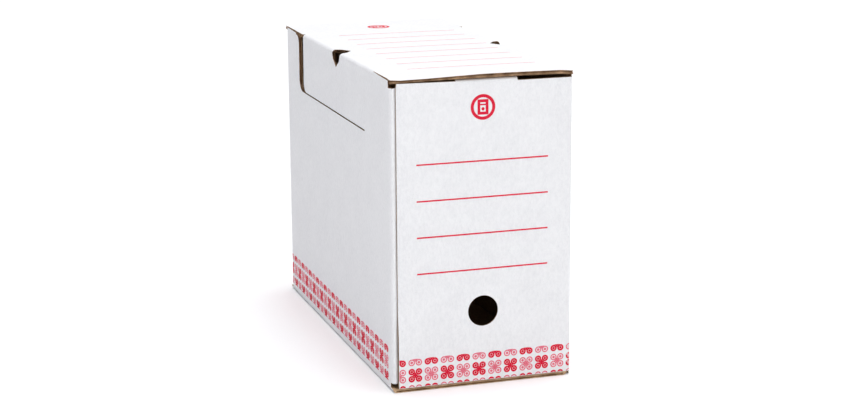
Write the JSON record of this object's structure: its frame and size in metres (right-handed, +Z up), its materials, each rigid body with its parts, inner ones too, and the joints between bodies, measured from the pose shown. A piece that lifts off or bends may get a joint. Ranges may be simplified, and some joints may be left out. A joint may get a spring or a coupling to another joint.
{
  "type": "archival box",
  "caption": "Upright archive box of white corrugated board with ruled label face, finger hole, flip-up rear lid with side wings, tuck-in end panels and a printed border.",
  "frame": {"origin": "middle of the footprint on the surface that the box stands on", "axes": "+Z up, -Y out of the label face with the finger hole, +X to the right of someone who faces the label"},
  "size_m": [0.15, 0.33, 0.25],
  "materials": {
    "board_white": "white clay-coated corrugated board, matt, with brown raw edges and brown inside",
    "board_kraft": "brown kraft corrugated board, matt, raw inside faces and cut edges",
    "print_red": "flat red printing ink on the white face"
  },
  "bodies": {
    "box": {"bottom_panel": "board_white", "glue_tab": "board_kraft", "left_side_panel": "board_white", "right_side_panel": "board_white", "top_front_panel": "board_white"},
    "lid": {"lid_panel": "board_white"},
    "left_wing": {"left_lid_wing": "board_white"},
    "right_wing": {"right_lid_wing": "board_white"},
    "left_strip": {"left_front_strip": "board_white"},
    "right_strip": {"right_front_strip": "board_white"},
    "front": {"front_panel": "board_white"},
    "front_tongue": {"front_tongue": "board_white"},
    "front_flap": {"left_front_flap": "board_white"},
    "rear": {"rear_panel": "board_white"},
    "rear_tongue": {"rear_tongue": "board_white"},
    "rear_flap": {"left_rear_flap": "board_white"}
  },
  "joints": [
    {"name": "lid_crease", "type": "hinge", "parent": "box", "child": "lid", "pos_m": [0, -0.009, 0.2495], "axis": [1, 0, 0], "range_deg": [0, 100]},
    {"name": "left_wing_fold", "type": "hinge", "parent": "lid", "child": "left_wing", "pos_m": [-0.072, 0.05, 0.247], "axis": [0, 1, 0], "range_deg": [0, 90]},
    {"name": "right_wing_fold", "type": "hinge", "parent": "lid", "child": "right_wing", "pos_m": [0.072, 0.05, 0.247], "axis": [0, -1, 0], "range_deg": [0, 90]},
    {"name": "left_strip_fold", "type": "hinge", "parent": "box", "child": "left_strip", "pos_m": [-0.072, -0.05, 0.247], "axis": [0, 1, 0], "range_deg": [0, 90]},
    {"name": "right_strip_fold", "type": "hinge", "parent": "box", "child": "right_strip", "pos_m": [0.072, -0.05, 0.247], "axis": [0, -1, 0], "range_deg": [0, 90]},
    {"name": "front_panel_fold", "type": "hinge", "parent": "box", "child": "front", "pos_m": [0.072, -0.162, 0.12], "axis": [0, 0, 1], "range_deg": [0, 105]},
    {"name": "front_tongue_fold", "type": "hinge", "parent": "front", "child": "front_tongue", "pos_m": [0.0033, -0.162, 0.24385], "axis": [-1, 0, 0], "range_deg": [0, 60]},
    {"name": "front_flap_fold", "type": "hinge", "parent": "box", "child": "front_flap", "pos_m": [-0.072, -0.15885, 0.12], "axis": [0, 0, 1], "range_deg": [0, 85]},
    {"name": "rear_panel_fold", "type": "hinge", "parent": "box", "child": "rear", "pos_m": [0.072, 0.162, 0.12], "axis": [0, 0, -1], "range_deg": [0, 105]},
    {"name": "rear_tongue_fold", "type": "hinge", "parent": "rear", "child": "rear_tongue", "pos_m": [0.0033, 0.162, 0.24385], "axis": [1, 0, 0], "range_deg": [0, 60]},
    {"name": "rear_flap_fold", "type": "hinge", "parent": "box", "child": "rear_flap", "pos_m": [-0.072, 0.15885, 0.12], "axis": [0, 0, -1], "range_deg": [0, 85]}
  ],
  "couplings": [
    {"joint": "left_wing_fold", "follows": "lid_crease", "ratio": 0.9},
    {"joint": "right_wing_fold", "follows": "lid_crease", "ratio": 0.9},
    {"joint": "left_strip_fold", "follows": "lid_crease", "ratio": 0.9},
    {"joint": "right_strip_fold", "follows": "lid_crease", "ratio": 0.9}
  ]
}
